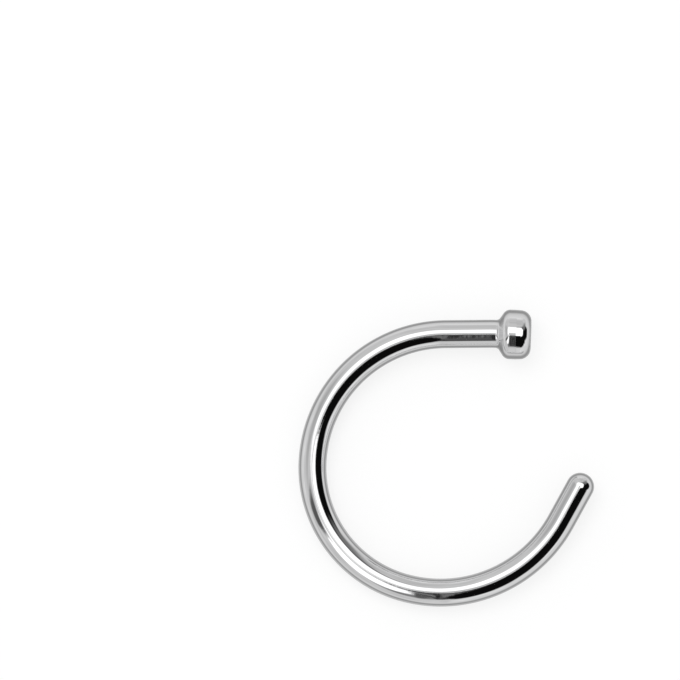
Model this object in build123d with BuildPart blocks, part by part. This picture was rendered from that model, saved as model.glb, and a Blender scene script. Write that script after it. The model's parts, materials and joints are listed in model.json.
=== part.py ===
"""An open nose ring, bent from one length of round wire.

One end of the wire carries a flat disc, the stopper that stays inside the nostril, with a
conical shoulder behind it. The other end is plain and rounded, and is the end that goes
through the piercing. The disc is formed on the wire, so the ring is one solid.

The ring lies on its side as it would on a table: on the rim of its disc and on the far side
of its wire, with its mass over the line between the two. Millimetres, +Z up. The origin is
on the table, under the middle of the ring.
"""

from build123d import *
from math import asin, atan2, cos, degrees, radians, sin, tan
import os

# The wire
wire_dia = 1.0  # 18 gauge
wire_radius = wire_dia / 2
head_drop = 2.0  # degrees by which the disc points below +X, in the plane of the ring
neck_radius, neck_turn = 3.0, 2.5  # the wire's slight kink at the back of the disc
neck_run = 1.60  # straight wire after the kink
top_radius, top_turn = 4.80, 86.0  # the three bends, to the middle of the wire
side_radius, side_turn = 4.44, 76.8
bottom_radius, bottom_turn = 4.91, 77.9
tip_run = 1.42  # straight wire before the rounded end

# The disc, along its own axis from where the wire meets it
disc_dia = 1.77
neck_length = 0.15  # still as thin as the wire
shoulder_end = 0.41  # where the cone would reach the rim
head_length = 1.32  # to the disc's face
rim_end = 0.80  # from here the rim narrows towards the face
face_taper = 0.06  # and this fast
neck_fillet = 0.15
shoulder_round = 0.27
rim_round = 0.85
face_round = 0.38

disc_radius = disc_dia / 2
shoulder_slope = atan2(disc_radius - wire_radius, shoulder_end - neck_length)
rim_start = shoulder_end + shoulder_round * tan(shoulder_slope / 2)
head_axis = Axis((0, 0, 0), (cos(radians(head_drop)), -sin(radians(head_drop)), 0))

# The ring in its own plane: disc at the upper right, wire bent anticlockwise from it.
with BuildPart() as bent_ring:
    with BuildLine() as route:
        kink = JernArc((0, 0), -head_axis.direction, neck_radius, neck_turn)
        neck = Line(kink @ 1, kink @ 1 + neck_run * (kink % 1))
        top_bend = JernArc(neck @ 1, neck % 1, top_radius, top_turn)
        side_bend = JernArc(top_bend @ 1, top_bend % 1, side_radius, side_turn)
        bottom_bend = JernArc(side_bend @ 1, side_bend % 1, bottom_radius, bottom_turn)
        tip = Line(bottom_bend @ 1, bottom_bend @ 1 + tip_run * (bottom_bend % 1))
    with BuildSketch(Plane(origin=kink @ 0, z_dir=kink % 0)):
        Circle(wire_radius)
    sweep(path=route.wire())

    # The disc with its shoulder, turned about the wire's own axis.
    with BuildSketch(Plane(origin=kink @ 0, x_dir=head_axis.direction, z_dir=(0, 0, 1))):
        with BuildLine():
            outline = FilletPolyline(
                (0, wire_radius),
                (neck_length, wire_radius),
                (shoulder_end, disc_radius),
                (rim_end, disc_radius),
                (head_length, disc_radius - face_taper * (head_length - rim_end)),
                (head_length, 0),
                radius=[neck_fillet, shoulder_round, rim_round, face_round],
            )
            Polyline(outline @ 1, (0, 0), outline @ 0)
        make_face()
    revolve(axis=head_axis)

    # The rounded free end, a quarter circle turned about the end of the wire.
    with BuildSketch(Plane(origin=tip @ 1, x_dir=tip % 1, z_dir=(0, 0, 1))):
        with BuildLine():
            end_curve = CenterArc((0, 0), wire_radius, 0, 90)
            Polyline(end_curve @ 1, (0, 0), end_curve @ 0)
        make_face()
    revolve(axis=Axis(tip @ 1, tip % 1))

# How it comes to rest. It touches the table where the disc's rim meets its shoulder and at
# one point on the side bend, where the wire runs square to the slope, and its mass lies over
# the straight line between them. That line fixes which way it slopes, and the difference
# between the disc's and the wire's radius fixes how much.
rim_touch = rim_start * head_axis.direction
bend_centre = side_bend.arc_center
over_mass = (bent_ring.part.center(CenterOf.MASS) - rim_touch).normalized()
offset = (bend_centre - rim_touch).cross(over_mass).Z
downhill = over_mass.rotate(Axis.Z, degrees(asin(offset / side_radius)))
wire_touch = bend_centre + side_radius * downhill
slope_run = (wire_touch - rim_touch).dot(downhill)
lean = degrees(asin((disc_radius - wire_radius) / slope_run))
laid_ring = bent_ring.part.rotate(Axis((0, 0, 0), Vector(0, 0, 1).cross(downhill)), lean)
laid_box = laid_ring.bounding_box()

with BuildPart() as nose_ring:
    with Locations((-laid_box.center().X, -laid_box.center().Y, -laid_box.min.Z)):
        add(laid_ring)
nose_ring.part.label = "nose_ring"

os.makedirs("parts", exist_ok=True)
export_step(nose_ring.part, "parts/nose_ring.step")
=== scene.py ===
"""An open nose ring of polished steel wire with a flat stopper disc, lying on a white table.

The ring is modelled straight, in millimetres along its own wire, bent as it is drawn out, and
then put where the frame says its disc's face and its free end are.
"""

import json
import math
from collections import namedtuple

import bmesh
import bpy
from mathutils import Matrix, Vector


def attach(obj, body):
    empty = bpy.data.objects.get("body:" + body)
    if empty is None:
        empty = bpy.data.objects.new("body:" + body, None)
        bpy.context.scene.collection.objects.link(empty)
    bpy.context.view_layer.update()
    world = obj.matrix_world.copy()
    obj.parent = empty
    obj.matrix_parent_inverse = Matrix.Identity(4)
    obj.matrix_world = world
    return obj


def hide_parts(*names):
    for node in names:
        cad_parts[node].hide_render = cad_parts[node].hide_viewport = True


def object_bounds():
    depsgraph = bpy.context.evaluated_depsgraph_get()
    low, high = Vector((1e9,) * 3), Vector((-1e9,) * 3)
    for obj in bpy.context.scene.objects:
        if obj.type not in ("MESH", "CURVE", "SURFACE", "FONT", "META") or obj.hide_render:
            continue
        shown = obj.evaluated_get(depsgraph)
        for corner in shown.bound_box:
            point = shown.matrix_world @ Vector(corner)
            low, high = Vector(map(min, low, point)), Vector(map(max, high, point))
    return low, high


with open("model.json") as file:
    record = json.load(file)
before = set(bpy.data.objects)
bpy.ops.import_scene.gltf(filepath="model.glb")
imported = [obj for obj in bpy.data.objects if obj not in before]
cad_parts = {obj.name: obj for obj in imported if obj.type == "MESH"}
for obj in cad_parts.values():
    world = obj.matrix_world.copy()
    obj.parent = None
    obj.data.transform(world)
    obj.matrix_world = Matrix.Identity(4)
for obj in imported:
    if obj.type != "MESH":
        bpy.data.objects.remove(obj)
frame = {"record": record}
cad_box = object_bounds()
mounts = {mount["name"]: mount for mount in frame["record"]["mounts"]}

MM = 0.001  # the ring is modelled in millimetres and put in place in metres

# The wire, in millimetres and degrees
WIRE_RADIUS = mounts["free_end"]["dims"]["r_mm"]
TIP_RUN = mounts["free_end"]["dims"]["length_mm"]
NECK_RUN = 1.60
KINK = (3.0, 2.5)  # the slight bend behind the disc: radius to the wire's middle, turn
BENDS = ((4.80, 86.0), (4.44, 76.8), (4.91, 77.9))  # the three bends round the ring

# The disc, along its axis from where the wire meets it
NECK_LENGTH = 0.15
SHOULDER_END = 0.41
HEAD_LENGTH = 1.32
DISC_RADIUS = 0.885
RIM_END = 0.80  # from here the rim narrows towards the face
FACE_TAPER = 0.06  # and this fast
NECK_FILLET = 0.15
SHOULDER_ROUND = 0.27
RIM_ROUND = 0.85
FACE_ROUND = 0.38
SATIN_RADIUS = 0.64  # the blasted face runs a little way onto its rounded edge
SATIN_DEPTH = 0.1

# How finely the surfaces are divided
AROUND = 128
ROUND_STEPS = 14
STRAIGHT_STEPS = 8
BEND_STEP = 1.5  # degrees
TIP_STEPS = 28
JOIN = 1e-5  # millimetres within which two points are one


# --- the ring -----------------------------------------------------------------------------


def head_outline(bm):
    """Half the disc's outline, from the wire to the middle of the face, its corners rounded."""
    wire_end = -HEAD_LENGTH
    corners = (
        (wire_end, WIRE_RADIUS),
        (wire_end + NECK_LENGTH, WIRE_RADIUS),
        (wire_end + SHOULDER_END, DISC_RADIUS),
        (wire_end + RIM_END, DISC_RADIUS),
        (0, DISC_RADIUS - FACE_TAPER * (HEAD_LENGTH - RIM_END)),
        (0, 0),
    )
    points = [bm.verts.new((x, y, 0)) for x, y in corners]
    for pair in zip(points, points[1:]):
        bm.edges.new(pair)
    rounds = zip(points[1:-1], (NECK_FILLET, SHOULDER_ROUND, RIM_ROUND, FACE_ROUND))
    offsets = []
    for point, radius in rounds:
        before, after = (edge.other_vert(point).co for edge in point.link_edges)
        turn = (point.co - before).angle(after - point.co)
        offsets.append((point, radius * math.tan(turn / 2)))
    for point, offset in offsets:
        bmesh.ops.bevel(
            bm,
            geom=[point],
            offset=offset,
            offset_type="OFFSET",
            segments=ROUND_STEPS,
            profile=0.5,
            affect="VERTICES",
            material=-1,
        )
    shortest = NECK_LENGTH / STRAIGHT_STEPS
    straight = [edge for edge in bm.edges if edge.calc_length() > 2 * shortest]
    bmesh.ops.subdivide_edges(bm, edges=straight, cuts=STRAIGHT_STEPS - 1)


def turn_head(bm):
    """The disc with its shoulder and face, turned about the wire's axis."""
    head_outline(bm)
    bmesh.ops.spin(
        bm,
        geom=bm.verts[:] + bm.edges[:],
        cent=(0, 0, 0),
        axis=(1, 0, 0),
        angle=2 * math.pi,
        steps=AROUND,
        use_merge=True,
    )
    bmesh.ops.remove_doubles(bm, verts=bm.verts, dist=JOIN)


def draw_on(bm, loop, drawn, bent_move, straight_move):
    """Draws the wire on by one ring of edges, and notes where it lay on the straight wire."""
    made = bmesh.ops.extrude_edge_only(bm, edges=loop)["geom"]
    points = [part for part in made if isinstance(part, bmesh.types.BMVert)]
    bmesh.ops.transform(bm, matrix=bent_move, verts=points)
    for point in points:
        point[drawn] = straight_move @ point[drawn]
    ends = set(points)
    return [
        part
        for part in made
        if isinstance(part, bmesh.types.BMEdge) and ends.issuperset(part.verts)
    ]


def bend_wire(bm, drawn):
    """The wire from the disc's shoulder round the three bends to its rounded free end."""
    loop = [edge for edge in bm.edges if edge.is_boundary]
    middle = Vector((-HEAD_LENGTH, 0, 0))
    way = Vector((-1, 0, 0))
    reach = -HEAD_LENGTH

    def run(length, steps):
        nonlocal loop, middle, reach
        step = length / steps
        for _ in range(steps):
            back = Matrix.Translation((-step, 0, 0))
            loop = draw_on(bm, loop, drawn, Matrix.Translation(way * step), back)
        middle = middle + way * length
        reach -= length

    def bend(radius, turn):
        nonlocal loop, middle, way, reach
        centre = middle + radius * Vector((-way.y, way.x, 0))
        steps = math.ceil(turn / BEND_STEP)
        angle = math.radians(turn) / steps
        rotation = Matrix.Rotation(angle, 4, "Z")
        about = Matrix.Translation(centre) @ rotation @ Matrix.Translation(-centre)
        back = Matrix.Translation((-radius * angle, 0, 0))
        for _ in range(steps):
            loop = draw_on(bm, loop, drawn, about, back)
        middle = Matrix.Rotation(math.radians(turn), 4, "Z") @ (middle - centre) + centre
        way = Matrix.Rotation(math.radians(turn), 3, "Z") @ way
        reach -= radius * math.radians(turn)

    bend(*KINK)
    run(NECK_RUN, 2 * STRAIGHT_STEPS)
    for radius, turn in BENDS:
        bend(radius, turn)
    run(TIP_RUN, 2 * STRAIGHT_STEPS)
    round_tip(bm, loop, drawn, middle, way, reach)


def round_tip(bm, loop, drawn, middle, way, reach):
    """The free end, a half ball of the wire's own radius."""
    angles = [math.radians(90 * step / TIP_STEPS) for step in range(TIP_STEPS + 1)]
    for near, far in zip(angles, angles[1:]):
        start = middle + way * WIRE_RADIUS * math.sin(near)
        forward = WIRE_RADIUS * (math.sin(far) - math.sin(near))
        shrink = Matrix.Scale(math.cos(far) / math.cos(near), 4)
        bent_move = Matrix.Translation(start + way * forward) @ shrink @ Matrix.Translation(-start)
        flat_start = Vector((reach - WIRE_RADIUS * math.sin(near), 0, 0))
        ahead = Matrix.Translation(flat_start - Vector((forward, 0, 0)))
        straight_move = ahead @ shrink @ Matrix.Translation(-flat_start)
        loop = draw_on(bm, loop, drawn, bent_move, straight_move)
    tip = list({vert for edge in loop for vert in edge.verts})
    bmesh.ops.pointmerge(bm, verts=tip, merge_co=middle + way * WIRE_RADIUS)


def ring_place():
    """Where the middle of the disc's face lies, with +X out of the face and +Z up from the ring."""
    face_way = Vector(mounts["disc_face"]["axis"]).normalized()
    tip_way = Vector(mounts["free_end"]["axis"]).normalized()
    ring_up = face_way.cross(tip_way).normalized()
    place = Matrix((face_way, ring_up.cross(face_way), ring_up)).transposed().to_4x4()
    place.translation = Vector(mounts["disc_face"]["pos_m"])
    return place @ Matrix.Scale(MM, 4)


def nose_ring(polished, satin):
    """The whole ring as one closed surface, its flat face satin and the rest polished."""
    bm = bmesh.new()
    turn_head(bm)
    drawn = bm.verts.layers.float_vector.new("drawn")
    for vert in bm.verts:
        vert[drawn] = vert.co
    bend_wire(bm, drawn)
    bmesh.ops.recalc_face_normals(bm, faces=bm.faces)
    for face in bm.faces:
        face.smooth = True
        middle = face.calc_center_median()
        blasted = -SATIN_DEPTH < middle.x < SATIN_DEPTH and middle.yz.length < SATIN_RADIUS
        face.material_index = 1 if blasted else 0
    bm.transform(ring_place())
    mesh = bpy.data.meshes.new("nose_ring_steel")
    bm.to_mesh(mesh)
    bm.free()
    mesh.materials.append(polished)
    mesh.materials.append(satin)
    ring = bpy.data.objects.new("nose_ring_steel", mesh)
    bpy.context.scene.collection.objects.link(ring)
    return ring


# --- finishes -----------------------------------------------------------------------------

# Unevenness of the steel. The noise is stretched along the drawn wire and across it both ways,
# and its scale is in waves per millimetre.
Unevenness = namedtuple("Unevenness", "stretch scale detail")
BUFFED_WAVES = Unevenness((0.5, 1.0, 1.0), 2.2, 1.0)
DRAWN_RIPPLES = Unevenness((3.0, 0.7, 0.7), 2.2, 1.5)
DRAWN_LINES = Unevenness((0.35, 5.0, 5.0), 6.0, 3.0)
SATIN_MOTTLE = Unevenness((1.0, 1.0, 1.0), 7.0, 3.0)
SATIN_GRAIN = Unevenness((1.0, 1.0, 1.0), 20.0, 2.0)
NOISE_LOW, NOISE_HIGH = 0.3, 0.7  # nearly all of a noise lies between these

# How deep each is, in metres
WAVES_DEPTH = 3e-6
RIPPLES_DEPTH = 5e-7
LINES_DEPTH = 8e-8
GRAIN_DEPTH = 4e-6

POLISHED_TONE = (0.78, 0.78, 0.785, 1)
POLISHED_ROUGHNESS = (0.02, 0.06)
SATIN_TONES = (0.84, 0.98)
SATIN_ROUGHNESS = (0.40, 0.55)


def new_material(name):
    material = bpy.data.materials.new(name)
    material.use_nodes = True
    nodes = material.node_tree.nodes
    return material, nodes, material.node_tree.links, nodes["Principled BSDF"]


def number(nodes, links, operation, *values):
    """One sum on values that are either numbers or other nodes' outputs."""
    node = nodes.new("ShaderNodeMath")
    node.operation = operation
    for socket, value in zip(node.inputs, values):
        if isinstance(value, (int, float)):
            socket.default_value = value
        else:
            links.new(value, socket)
    return node.outputs[0]


def spread(nodes, links, value, low, high):
    """A noise's value spread over a range."""
    ranged = nodes.new("ShaderNodeMapRange")
    ranged.inputs["From Min"].default_value = NOISE_LOW
    ranged.inputs["From Max"].default_value = NOISE_HIGH
    ranged.inputs["To Min"].default_value = low
    ranged.inputs["To Max"].default_value = high
    links.new(value, ranged.inputs["Value"])
    return ranged.outputs["Result"]


def along_wire(nodes, links, unevenness):
    """Noise on the wire as it was drawn, before it was bent."""
    place = nodes.new("ShaderNodeAttribute")
    place.attribute_name = "drawn"
    mapping = nodes.new("ShaderNodeMapping")
    mapping.inputs["Scale"].default_value = unevenness.stretch
    noise = nodes.new("ShaderNodeTexNoise")
    noise.inputs["Scale"].default_value = unevenness.scale
    noise.inputs["Detail"].default_value = unevenness.detail
    links.new(place.outputs["Vector"], mapping.inputs["Vector"])
    links.new(mapping.outputs["Vector"], noise.inputs["Vector"])
    return noise.outputs["Fac"]


def relief(nodes, links, height, depth, under=None):
    """Surface relief of a depth in metres, on top of another relief if there is one."""
    bump = nodes.new("ShaderNodeBump")
    bump.inputs["Distance"].default_value = depth
    links.new(height, bump.inputs["Height"])
    if under:
        links.new(under, bump.inputs["Normal"])
    return bump.outputs["Normal"]


def polished_steel():
    """Mirror polish, with the faint waviness and the fine lines that drawing and buffing leave."""
    material, nodes, links, shader = new_material("polished_steel")
    shader.inputs["Metallic"].default_value = 1.0
    shader.inputs["Base Color"].default_value = POLISHED_TONE
    waves = along_wire(nodes, links, BUFFED_WAVES)
    ripples = along_wire(nodes, links, DRAWN_RIPPLES)
    lines = along_wire(nodes, links, DRAWN_LINES)
    links.new(spread(nodes, links, lines, *POLISHED_ROUGHNESS), shader.inputs["Roughness"])
    wavy = relief(nodes, links, waves, WAVES_DEPTH)
    rippled = relief(nodes, links, ripples, RIPPLES_DEPTH, wavy)
    lined = relief(nodes, links, lines, LINES_DEPTH, rippled)
    links.new(lined, shader.inputs["Normal"])
    return material


def satin_steel():
    """The disc's blasted face: pale and fine-grained, a little mottled."""
    material, nodes, links, shader = new_material("satin_steel")
    shader.inputs["Metallic"].default_value = 1.0
    mottle = along_wire(nodes, links, SATIN_MOTTLE)
    links.new(spread(nodes, links, mottle, *SATIN_TONES), shader.inputs["Base Color"])
    grain = along_wire(nodes, links, SATIN_GRAIN)
    links.new(spread(nodes, links, grain, *SATIN_ROUGHNESS), shader.inputs["Roughness"])
    links.new(relief(nodes, links, grain, GRAIN_DEPTH), shader.inputs["Normal"])
    return material


# --- the table, the light and the camera --------------------------------------------------

WHITE = (1, 1, 1, 1)
TABLE_TONE = 0.27  # the table by itself, before its lift to white
TABLE_LIFT = 0.745
TABLE_RADIUS = 0.3
TABLE_SIDES = 64
# How much of the lift the polish mirrors, by how far off the table is in hundredths of a metre.
# This is painted shade round the ring: it is least just inside the wire's outer edge,
# which draws the thin dark line there.
MIRRORED_LIFT_WITH_PAINTED_SHADE = ((0.08, 0.50), (0.17, 0.10), (0.40, 0.60), (1.0, 0.71))
HUNDREDTHS = 100


def table():
    """A pale round table top, which the ring lies on."""
    bm = bmesh.new()
    bmesh.ops.create_circle(bm, cap_ends=True, radius=TABLE_RADIUS, segments=TABLE_SIDES)
    mesh = bpy.data.meshes.new("table")
    bm.to_mesh(mesh)
    bm.free()
    mesh.materials.append(white_table())
    top = bpy.data.objects.new("table", mesh)
    bpy.context.scene.collection.objects.link(top)


def white_table():
    """White to the eye, with its own tone only where the ring shades it, and painted shade close
    round the ring where the polish mirrors it.
    """
    material = bpy.data.materials.new("white_table")
    material.use_nodes = True
    nodes, links = material.node_tree.nodes, material.node_tree.links
    nodes.clear()
    matt = nodes.new("ShaderNodeBsdfDiffuse")
    matt.inputs["Color"].default_value = (TABLE_TONE, TABLE_TONE, TABLE_TONE, 1)
    path = nodes.new("ShaderNodeLightPath")
    # painted shade: close round the ring the polish mirrors less of the lift, a painted dark line
    # in it
    mirrored = mirrored_share_with_painted_shade(nodes, links, path)
    seen = number(nodes, links, "MAXIMUM", seen_directly(nodes, links, path), mirrored)
    lift = nodes.new("ShaderNodeEmission")
    links.new(number(nodes, links, "MULTIPLY", seen, TABLE_LIFT), lift.inputs["Strength"])
    both = nodes.new("ShaderNodeAddShader")
    output = nodes.new("ShaderNodeOutputMaterial")
    links.new(matt.outputs["BSDF"], both.inputs[0])
    links.new(lift.outputs["Emission"], both.inputs[1])
    links.new(both.outputs[0], output.inputs["Surface"])
    return material


def seen_directly(nodes, links, path):
    """One for what the eye sees by itself or through something clear, else nothing."""
    eye, clear = path.outputs["Is Camera Ray"], path.outputs["Is Transmission Ray"]
    return number(nodes, links, "MAXIMUM", eye, clear)


def mirrored_share_with_painted_shade(nodes, links, path):
    """How much of the table's lift the polish mirrors, less close round the ring as painted shade,
    and nothing for other light.
    """
    away = nodes.new("ShaderNodeValToRGB")
    away.color_ramp.interpolation = "EASE"
    stops = away.color_ramp.elements
    while len(stops) < len(MIRRORED_LIFT_WITH_PAINTED_SHADE):
        stops.new(0.5)
    for stop, (distance, share) in zip(stops, MIRRORED_LIFT_WITH_PAINTED_SHADE):
        stop.position = distance
        stop.color = (share, share, share, 1)
    distance = number(nodes, links, "MULTIPLY", path.outputs["Ray Length"], HUNDREDTHS)
    links.new(distance, away.inputs["Fac"])
    return number(nodes, links, "MULTIPLY", path.outputs["Is Glossy Ray"], away.outputs["Color"])


# What the polish mirrors, as places on a flat map of the sky seen from the table: (across, up)
# from overhead, with the horizon at 0.71. Each patch is laid over the ones before it.
# Squareness is 2 for an oval and more for a card, turn is in degrees.
Patch = namedtuple("Patch", "tone middle half_size turn squareness softness")
SKY_TONE = 0.88
SKY = (
    # the dark side of the room
    Patch(0.004, (0.05, -0.065), (0.46, 0.462), 0, 2.0, 0.07),
    Patch(0.004, (0.46, 0.05), (0.20, 0.26), 0, 2.0, 0.16),
    # the pale walls behind and on the left, brighter low down
    Patch(0.70, (0.10, 0.60), (0.62, 0.30), 12, 4.0, 0.25),
    Patch(0.70, (-0.52, 0.0), (0.54, 1.2), 0, 8.0, 0.03),
    Patch(0.86, (-0.74, 0.0), (0.16, 0.60), 0, 2.0, 0.4),
    Patch(0.86, (0.0, 0.76), (0.60, 0.16), 0, 2.0, 0.4),
    # greyer places on the walls
    Patch(0.50, (-0.42, 0.14), (0.10, 0.22), 15, 2.0, 0.6),
    Patch(0.22, (0.36, 0.31), (0.14, 0.12), 35, 2.0, 0.6),
    Patch(0.62, (0.14, 0.47), (0.20, 0.10), -20, 2.0, 0.6),
    Patch(0.25, (-0.10, -0.43), (0.12, 0.07), -15, 2.0, 0.6),
    # the two softboxes, and a dark corner beside them
    Patch(1.5, (-0.005, 0.115), (0.253, 0.174), -13, 3.0, 0.13),
    Patch(1.5, (-0.165, -0.232), (0.15, 0.12), 45, 2.5, 0.15),
    Patch(0.12, (-0.335, -0.152), (0.15, 0.056), 20, 3.0, 0.4),
    # the first softbox's greyer corner
    Patch(0.50, (-0.040, 0.016), (0.044, 0.046), 0, 2.0, 0.8),
    # the streaky grey edge of the dark side, between the two
    Patch(0.12, (-0.048, -0.29), (0.022, 0.21), -9, 3.0, 0.35),
    Patch(0.09, (-0.012, -0.27), (0.030, 0.234), 0, 3.0, 0.05),
    Patch(0.26, (-0.034, -0.20), (0.005, 0.15), 3, 2.0, 0.5),
    Patch(0.02, (-0.024, -0.26), (0.004, 0.20), -1, 2.0, 0.5),
    Patch(0.20, (-0.012, -0.22), (0.005, 0.17), 2, 2.0, 0.5),
    Patch(0.03, (-0.001, -0.25), (0.005, 0.20), -2, 2.0, 0.5),
    # the dark side again, where it cuts off the first softbox
    Patch(0.004, (0.058, -0.28), (0.06, 0.205), 0, 6.0, 0.05),
    Patch(0.004, (0.056, -0.090), (0.060, 0.032), -19, 4.0, 0.2),
)
SKY_UNEVEN = (0.86, 1.08)  # how much the light on the walls varies
SKY_CLOUDS = 9.0  # and how finely, across the map
PLAIN_LIGHT = 0.8  # the light on everything that isn't a mirror
WHITE_LIGHT = 1.0
NEARLY_NOTHING = 1e-4  # keeps straight down from dividing by nothing


def overhead_place(nodes, links):
    """A direction as its place on a flat map of the sky, whose middle is straight up."""
    sight = nodes.new("ShaderNodeTexCoord")
    split = nodes.new("ShaderNodeSeparateXYZ")
    links.new(sight.outputs["Generated"], split.inputs[0])
    # the distance from the middle of the map is the sine of half the angle from straight up
    doubled = number(nodes, links, "MULTIPLY_ADD", split.outputs["Z"], 2.0, 2.0)
    above = number(nodes, links, "MAXIMUM", doubled, NEARLY_NOTHING)
    divisor = number(nodes, links, "SQRT", above)
    joined = nodes.new("ShaderNodeCombineXYZ")
    for axis in ("X", "Y"):
        flat = number(nodes, links, "DIVIDE", split.outputs[axis], divisor)
        links.new(flat, joined.inputs[axis])
    return joined.outputs[0]


def patch_cover(nodes, links, place, patch):
    """How much a patch covers of each place: all inside it, nothing outside, soft between."""
    mapping = nodes.new("ShaderNodeMapping")
    mapping.vector_type = "TEXTURE"
    mapping.inputs["Location"].default_value = (*patch.middle, 0)
    mapping.inputs["Rotation"].default_value = (0, 0, math.radians(patch.turn))
    mapping.inputs["Scale"].default_value = (*patch.half_size, 1)
    split = nodes.new("ShaderNodeSeparateXYZ")
    links.new(place, mapping.inputs["Vector"])
    links.new(mapping.outputs[0], split.inputs[0])
    powers = []
    for axis in ("X", "Y"):
        away = number(nodes, links, "ABSOLUTE", split.outputs[axis])
        powers.append(number(nodes, links, "POWER", away, patch.squareness))
    both = number(nodes, links, "ADD", *powers)
    cover = nodes.new("ShaderNodeMapRange")
    cover.interpolation_type = "SMOOTHSTEP"
    cover.inputs["From Min"].default_value = 1 + patch.softness
    cover.inputs["From Max"].default_value = 1 - patch.softness
    links.new(number(nodes, links, "POWER", both, 1 / patch.squareness), cover.inputs["Value"])
    return cover.outputs["Result"]


def sky_tone(nodes, links, place):
    """The studio's tone at each place: its patches laid over each other, and slightly uneven."""
    tone = SKY_TONE
    for patch in SKY:
        cover = patch_cover(nodes, links, place, patch)
        change = number(nodes, links, "SUBTRACT", patch.tone, tone)
        tone = number(nodes, links, "MULTIPLY_ADD", cover, change, tone)
    clouds = nodes.new("ShaderNodeTexNoise")
    clouds.inputs["Scale"].default_value = SKY_CLOUDS
    links.new(place, clouds.inputs["Vector"])
    uneven = spread(nodes, links, clouds.outputs["Fac"], *SKY_UNEVEN)
    return number(nodes, links, "MULTIPLY", tone, uneven)


def studio_light():
    """White all round for the eye, plain light on everything, and the studio in the polish."""
    world = bpy.data.worlds.new("studio")
    bpy.context.scene.world = world
    world.use_nodes = True
    world.cycles.sampling_method = "NONE"
    nodes, links = world.node_tree.nodes, world.node_tree.links
    nodes.clear()
    plain, white, mirrored = (nodes.new("ShaderNodeBackground") for _ in range(3))
    for light in (plain, white, mirrored):
        light.inputs["Color"].default_value = WHITE
    plain.inputs["Strength"].default_value = PLAIN_LIGHT
    white.inputs["Strength"].default_value = WHITE_LIGHT
    tone = sky_tone(nodes, links, overhead_place(nodes, links))
    links.new(tone, mirrored.inputs["Strength"])

    path = nodes.new("ShaderNodeLightPath")
    glossy = nodes.new("ShaderNodeMixShader")
    direct = nodes.new("ShaderNodeMixShader")
    output = nodes.new("ShaderNodeOutputWorld")
    links.new(path.outputs["Is Glossy Ray"], glossy.inputs["Fac"])
    links.new(plain.outputs[0], glossy.inputs[1])
    links.new(mirrored.outputs[0], glossy.inputs[2])
    links.new(seen_directly(nodes, links, path), direct.inputs["Fac"])
    links.new(glossy.outputs[0], direct.inputs[1])
    links.new(white.outputs[0], direct.inputs[2])
    links.new(direct.outputs[0], output.inputs["Surface"])


LAMP_PLACE = (-0.03, 0.05, 0.12)
LAMP_SIZE = 0.08
LAMP_WATTS = 0.04


def lamp():
    """One soft lamp overhead, for the shadow under the ring."""
    light = bpy.data.lights.new("soft_lamp", "AREA")
    light.shape = "DISK"
    light.size = LAMP_SIZE
    light.energy = LAMP_WATTS
    source = bpy.data.objects.new("soft_lamp", light)
    source.location = LAMP_PLACE
    source.rotation_euler = (-source.location).to_track_quat("-Z", "Y").to_euler()
    source.visible_glossy = False
    bpy.context.scene.collection.objects.link(source)


LENS = 1200  # a long lens, so the view is nearly parallel
NEAREST, FURTHEST = 0.001, 2.0  # what the camera sees, in metres
VIEW_WIDTH = 24.286 * MM
RING_HEIGHT = 0.7 * MM  # where the view is that wide
RING_FROM_MIDDLE = (3.794 * MM, -4.2187 * MM)  # the ring lies to the lower right of the view


def camera():
    """Looks straight down on the table."""
    data = bpy.data.cameras.new("camera")
    data.lens = LENS
    data.clip_start = NEAREST
    data.clip_end = FURTHEST
    eye = bpy.data.objects.new("camera", data)
    low, high = cad_box
    middle = (low + high) / 2
    across, up = RING_FROM_MIDDLE
    height = RING_HEIGHT + VIEW_WIDTH * data.lens / data.sensor_width
    eye.location = (middle.x - across, middle.y - up, height)
    bpy.context.scene.collection.objects.link(eye)
    bpy.context.scene.camera = eye


ring = nose_ring(polished_steel(), satin_steel())
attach(ring, "root")
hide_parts("nose_ring")
table()
studio_light()
lamp()
camera()
bpy.context.scene.view_settings.view_transform = "Standard"
